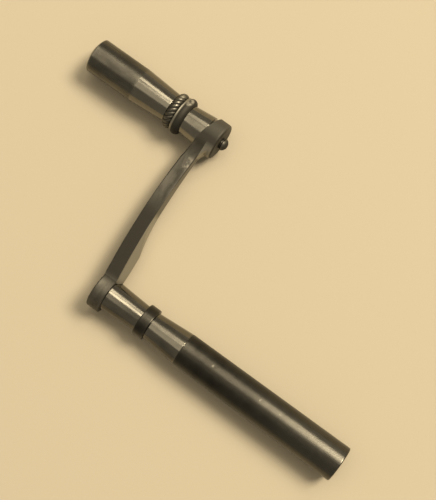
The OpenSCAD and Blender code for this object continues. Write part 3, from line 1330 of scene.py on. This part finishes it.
    def build(self, forged: ArmFinish) -> None:
        """Joins the bar and the eyes into one forging and clears the ferrule's and the hub's room.

        Args:
            forged: Finish of the arm, which is told where the bow's front lies.
        """
        axis_x, radius = self.bow_circle
        finish = replace(forged, bow_axis=(axis_x, self.crown), front_r=radius - self.bar_t / 2.0)
        piece = self.bar().show("arm")
        tools = [
            ("UNION", self.lower_eye().show("lower_eye_tool")),
            ("DIFFERENCE", self.hub_room().show("hub_room_tool")),
            ("UNION", self.upper_eye().show("upper_eye_tool")),
            ("DIFFERENCE", self.spot_room().show("spot_room_tool")),
        ]
        for operation, tool in tools:
            cut = piece.modifiers.new(operation, "BOOLEAN")
            cut.operation = operation
            cut.solver = "EXACT"
            cut.object = tool
        depsgraph = bpy.context.evaluated_depsgraph_get()
        whole = bpy.data.meshes.new_from_object(piece.evaluated_get(depsgraph))
        piece.modifiers.clear()
        piece.data = whole
        for _, tool in tools:
            bpy.data.objects.remove(tool)
        smooth(whole)
        self.dress(piece, "crank_arm", "arm_steel", finish.material())


@dataclass
class Handle(Assembly):
    """The handle that turns in the arm's upper eye: grip, rings, ferrule, spindle and button."""

    body: Body = Body.HANDLE
    waist_length: float = 12.6
    waist_r: float = 5.05
    waist_round: float = 0.5
    grip_length: float = 17.5
    dome_steps: int = 14
    dome_reach: Span = (0.02, 0.97)
    rim_round: float = 0.3
    spigot_r: float = 3.6
    spindle_r: float = 2.3
    spindle_round: float = 0.2
    journal_r: float = 1.5
    journal_round: float = 0.05
    tail_r: float = 1.0
    tail_length: float = 1.4
    tail_round: float = 0.1
    ferrule_ring_r: float = 4.95
    ferrule_wall: float = 1.6
    ferrule_round: float = 0.15
    cord_count: int = 24
    cord_slant: float = math.radians(32.0)
    cord_depth: float = 0.34
    cord_full: float = 0.985
    cord_fade: float = 0.35
    points_per_cord: int = 16
    ring_rows: int = 33
    fillet_r: float = 6.1
    fillet_round: float = 0.15
    button_side: float = 0.8
    button_undercut: float = 0.3
    base_round: float = 0.05
    undercut_round: float = 0.1
    button_round: float = 0.12
    crown_steps: int = 12
    crown_reach: Span = (0.93, 0.03)
    seat_gap: float = 0.03
    crisp: float = 0.1
    axis_y: float = THROW

    @property
    def spigot_bore(self) -> float:
        """Radius of the holes that take the spigot."""
        return self.spigot_r + self.seat_gap

    @property
    def spindle_bore(self) -> float:
        """Radius of the holes that take the spindle."""
        return self.spindle_r + self.seat_gap

    def grip(self) -> Grid:
        """Domed grip, waist cone and spigot, bored for the spindle.

        The dome is the arc through the apex and the rim.

        Returns:
            The surface.
        """
        start, end = node_span("handle_grip")
        radius = node_radius("handle_grip")
        waist_x = node_span("corded_ring")[0]
        grip_x = waist_x - self.waist_length
        dome_h = grip_x - self.grip_length - start
        dome_r = cap_radius(radius, dome_h)
        r = np.linspace(*self.dome_reach, self.dome_steps) * radius
        dome_x = start + dome_r - np.sqrt(dome_r**2 - r**2)
        spindle_x = node_span("handle_spindle")[0]
        corners = [Corner(*point) for point in zip(dome_x, r)]
        corners += [
            Corner(start + dome_h, radius, self.rim_round),
            Corner(grip_x, radius, self.waist_round),
            Corner(waist_x, self.waist_r, self.crisp),
            Corner(waist_x, self.spigot_r),
            Corner(end, self.spigot_r, self.crisp),
            Corner(end, self.spindle_bore),
            Corner(spindle_x, self.spindle_bore),
            Corner(spindle_x, POLE_R),
        ]
        return Grid.turned(corners, self.axis_y, RowEnds.POLES)

    def ring_section(self, node: str) -> Triple:
        """Section of a half-round ring that fills a solid's length.

        Args:
            node: The solid.

        Returns:
            Station and radius of the section's centre, and the section's radius.
        """
        start, end = node_span(node)
        half = (end - start) / 2.0
        return (end + start) / 2.0, node_radius(node) - half, half

    def cord_ring(self) -> Grid:
        """Half-round ring on the spigot, cut into cords.

        A row is a turn about the section's centre. A column's place across its cord runs from -1 to 1,
        and the section's radius loses the depth times one less the half circle over that place. Columns
        slant with the cords: their turn about the axis shifts by the row's station times the slant's sine
        over its radius.

        Returns:
            The surface.
        """
        centre, ring_r, half = self.ring_section("corded_ring")
        columns = self.cord_count * self.points_per_cord
        turn = np.linspace(-np.pi / 2.0, np.pi / 2.0, self.ring_rows)
        column = np.arange(columns) / columns
        across = 2.0 * ((column * self.cord_count) % 1.0) - 1.0
        groove = self.cord_depth * (1.0 - np.sqrt(1.0 - self.cord_full * across**2))
        section = half - groove[None, :] * np.cos(turn)[:, None] ** self.cord_fade
        station = section * np.sin(turn)[:, None]
        radius = ring_r + section * np.cos(turn)[:, None]
        shift = half * np.sin(turn) * math.sin(self.cord_slant) / (ring_r + half * np.cos(turn))
        crest = np.cos(turn)[:, None] * (1.0 - across[None, :] ** 2)
        wall = np.array([half, -half])
        station = np.vstack([station, np.broadcast_to(wall[:, None], (2, columns))])
        radius = np.vstack([radius, np.full((2, columns), self.spigot_bore)])
        shift = np.concatenate([shift, shift[[-1, 0]]])
        crest = np.vstack([crest, np.zeros((2, columns))])
        angle = 2.0 * np.pi * column[None, :] - shift[:, None]
        y = self.axis_y + radius * np.cos(angle)
        points = np.stack([centre + station, y, radius * np.sin(angle)], axis=-1)
        return Grid(points, crest, RowEnds.RING)

    def plain_ring(self) -> Grid:
        """Half-round ring with a narrow fillet beside the cords, whose edge is worn bright and carries a
        painted highlight.

        The half circle starts where it rises above the fillet.

        Returns:
            The surface.
        """
        start, end = node_span("bead_ring")
        centre, ring_r, half = self.ring_section("bead_ring")
        rise = math.pi - math.asin((self.fillet_r - ring_r) / half)
        turn = np.linspace(rise, 0.0, self.ring_rows)
        arc = zip(centre + half * np.cos(turn), ring_r + half * np.sin(turn))
        corners = [Corner(start, self.spigot_bore), Corner(start, self.fillet_r, self.fillet_round)]
        corners += [Corner(*point) for point in arc]
        corners += [Corner(end, self.spigot_bore)]
        return Grid.turned(corners, self.axis_y)

    def ferrule(self) -> Grid:
        """Bright neck over the spigot's end, closed round the spindle.

        Returns:
            The surface.
        """
        start, end = node_span("neck_ferrule")
        seat = end - self.ferrule_wall
        corners = [
            Corner(start, self.spigot_bore),
            Corner(start, self.ferrule_ring_r, self.crisp),
            Corner(end, node_radius("neck_ferrule"), self.ferrule_round),
            Corner(end, self.spindle_bore),
            Corner(seat, self.spindle_bore),
            Corner(seat, self.spigot_bore),
        ]
        return Grid.turned(corners, self.axis_y)

    def spindle(self) -> Grid:
        """Spindle with its journal and its tail.

        Returns:
            The surface.
        """
        start, end = node_span("handle_spindle")
        journal_x = node_span("neck_ferrule")[1]
        button_x = node_span("spindle_button")[0]
        corners = [
            Corner(start, POLE_R),
            Corner(start, self.spindle_r, self.spindle_round),
            Corner(journal_x, self.spindle_r, self.journal_round),
            Corner(journal_x, self.journal_r),
            Corner(button_x, self.journal_r, self.journal_round),
            Corner(button_x, self.tail_r),
            Corner(end, self.tail_r, self.tail_round),
            Corner(end, POLE_R),
        ]
        return Grid.turned(corners, self.axis_y, RowEnds.POLES)

    def button(self) -> Grid:
        """Domed button with an undercut base, on the spindle's tail.

        The crown is the arc through its apex and its rim.

        Returns:
            The surface.
        """
        start, end = node_span("spindle_button")
        radius = node_radius("spindle_button")
        crown_r = cap_radius(radius, end - start - self.button_side)
        r = np.linspace(*self.crown_reach, self.crown_steps) * radius
        crown_x = end - crown_r + np.sqrt(crown_r**2 - r**2)
        bore, floor = self.tail_r + self.seat_gap, start + self.tail_length
        waist = radius - self.button_undercut
        corners = [
            Corner(floor, POLE_R),
            Corner(floor, bore),
            Corner(start, bore),
            Corner(start, waist, self.base_round),
            Corner(start + self.button_undercut, waist, self.undercut_round),
            Corner(start + 2.0 * self.button_undercut, radius, self.button_round),
            Corner(start + self.button_side, radius, self.button_round),
        ]
        corners += [Corner(*point) for point in zip(crown_x, r)]
        return Grid.turned(corners, self.axis_y, RowEnds.POLES)

    def build(
        self, worn: bpy.types.Material, ringed: bpy.types.Material, bright: bpy.types.Material
    ) -> None:
        """Makes the six pieces.

        Args:
            worn: Finish of the grip.
            ringed: Finish of the rings and the button.
            bright: Finish of the ferrule and the spindle.
        """
        self.add("grip", self.grip(), "handle_grip", "worn_steel", worn)
        self.add("cord_ring", self.cord_ring(), "corded_ring", "ring_steel", ringed)
        self.add("plain_ring", self.plain_ring(), "bead_ring", "ring_steel", ringed)
        self.add("ferrule", self.ferrule(), "neck_ferrule", "bright_steel", bright)
        self.add("spindle", self.spindle(), "handle_spindle", "bright_steel", bright)
        self.add("button", self.button(), "spindle_button", "ring_steel", ringed)


@dataclass(frozen=True)
class Softbox:
    """A rectangular lamp that faces the key. Its power is pi times its radiance times its area.

    Angles are in degrees and lengths in metres.
    """

    name: str
    zenith: float
    distance: float
    size: Span
    radiance: float
    slide: float = 0.0
    slant: float = 0.0
    azimuth: float = 90.0
    tint: Colour = (1.0, 0.87, 0.66)

    def build(self, centre: Vector) -> None:
        """Hangs the lamp, slants it in its own plane and slides it along X.

        Args:
            centre: What it faces before the slide.
        """
        tilt, turn = math.radians(self.zenith), math.radians(self.azimuth)
        level = math.sin(tilt)
        towards = Vector((level * math.cos(turn), level * math.sin(turn), math.cos(tilt)))
        lamp = bpy.data.lights.new(self.name, "AREA")
        lamp.shape = "RECTANGLE"
        lamp.size, lamp.size_y = self.size
        lamp.energy = self.radiance * math.pi * self.size[0] * self.size[1]
        lamp.color = self.tint
        made = linked(self.name, lamp)
        made.location = centre + towards * self.distance + Vector((self.slide, 0.0, 0.0))
        made.rotation_mode = "QUATERNION"
        slant = Quaternion((0.0, 0.0, 1.0), math.radians(self.slant))
        made.rotation_quaternion = towards.to_track_quat("Z", "Y") @ slant


@dataclass(frozen=True)
class PhotoCamera:
    """The camera over the key, rolled so that the pipe runs down to the right. Angles are in degrees."""

    aim: Triple = (-69.94, 31.81, 0.0)
    distance: float = 365.0
    tilt: float = 7.0
    roll: float = 35.684
    field_of_view: float = 24.49
    sensor: float = 36.0

    def build(self) -> None:
        """Makes the scene's camera."""
        data = bpy.data.cameras.new("camera")
        data.sensor_width = self.sensor
        data.lens = self.sensor / 2.0 / math.tan(math.radians(self.field_of_view) / 2.0)
        camera = linked("camera", data)
        tilt, roll = math.radians(self.tilt), math.radians(self.roll)
        back = Vector((math.sin(tilt), 0.0, math.cos(tilt)))
        right = Vector((math.cos(roll), math.sin(roll), 0.0))
        right = (right - back * right.dot(back)).normalized()
        up = back.cross(right)
        place = (Vector(self.aim) + back * self.distance) * MM
        turned = Matrix((right, up, back)).transposed().to_4x4()
        camera.matrix_world = Matrix.Translation(place) @ turned
        bpy.context.scene.camera = camera


@dataclass
class Studio:
    """Floor, room, lamps and camera, with lengths in metres.

    The key lamp throws the shadow. Most of the other lamps are boxes that the turned pieces mirror. The
    shade is dimmer than the room, and darkens the handle's upper side.
    """

    floor_half: float = 3.0
    floor_colour: Colour = (0.41, 0.363, 0.274)
    floor_roughness: float = 0.9
    floor_sheen: float = 0.1
    room_colour: Colour = (0.36, 0.318, 0.246)
    camera: PhotoCamera = field(default_factory=PhotoCamera)
    boxes: Tuple[Softbox, ...] = (
        Softbox("key_lamp", 38.5, 3.2, (1.05, 1.05), 44.5, azimuth=58.0),
        Softbox("pipe_lamp", 47.0, 1.34, (0.27, 0.16), 14.0, slide=0.1, slant=45.0),
        Softbox("waist_lamp", 38.8, 1.28, (0.13, 0.37), 6.5, slide=-0.15),
        Softbox("hub_lamp", 20.6, 1.1, (0.14, 0.31), 9.7, slide=-0.042),
        Softbox("neck_lamp", 28.6, 1.14, (0.1, 0.5), 2.9, slide=-0.292),
        Softbox("ferrule_lamp", 37.6, 1.27, (0.2, 0.58), 2.3, slide=-0.48),
        Softbox("ceiling_lamp", 0.7, 1.0, (0.58, 0.81), 1.2, slide=-0.37, azimuth=-90.0),
        Softbox("shade_lamp", 80.0, 1.5, (0.3, 0.4), 0.16, slide=-0.2),
        Softbox("side_lamp", 77.0, 1.5, (0.42, 0.4), 0.6, slide=0.16),
    )

    def floor(self) -> None:
        """Lays a plain pale floor under the lowest solid."""
        low, reach = SOLID_BOX[0].z, self.floor_half
        corners = [(-reach, -reach, low), (reach, -reach, low), (reach, reach, low), (-reach, reach, low)]
        mesh = bpy.data.meshes.new("floor")
        mesh.from_pydata(corners, [], [(0, 1, 2, 3)])
        sockets = {
            "Base Color": (*self.floor_colour, 1.0),
            "Roughness": self.floor_roughness,
            "Specular IOR Level": self.floor_sheen,
        }
        mesh.materials.append(Graph("pale_floor").finish(sockets))
        made = linked("floor", mesh)

    def room(self) -> None:
        """Fills the room with a dim even light."""
        world = bpy.data.worlds.new("room")
        world.use_nodes = True
        sky = world.node_tree.nodes["Background"]
        sky.inputs["Color"].default_value = (*self.room_colour, 1.0)
        sky.inputs["Strength"].default_value = 1.0
        bpy.context.scene.world = world

    def build(self) -> None:
        """Sets up the studio."""
        self.floor()
        self.room()
        centre = Vector((*self.camera.aim[:2], 0.0)) * MM
        for box in self.boxes:
            box.build(centre)
        self.camera.build()
        bpy.context.scene.view_settings.view_transform = "Standard"


def main() -> None:
    """Builds the key and its studio."""
    logging.basicConfig(level=logging.INFO, format="%(name)s: %(message)s")
    Studio().build()
    PipeEnd().build(BRIGHT.material(), DARK.material())
    Arm().build(FORGED)
    Handle().build(WORN.material(), RINGED.material(), FERRULE.material())


if __name__ == "__main__":
    main()
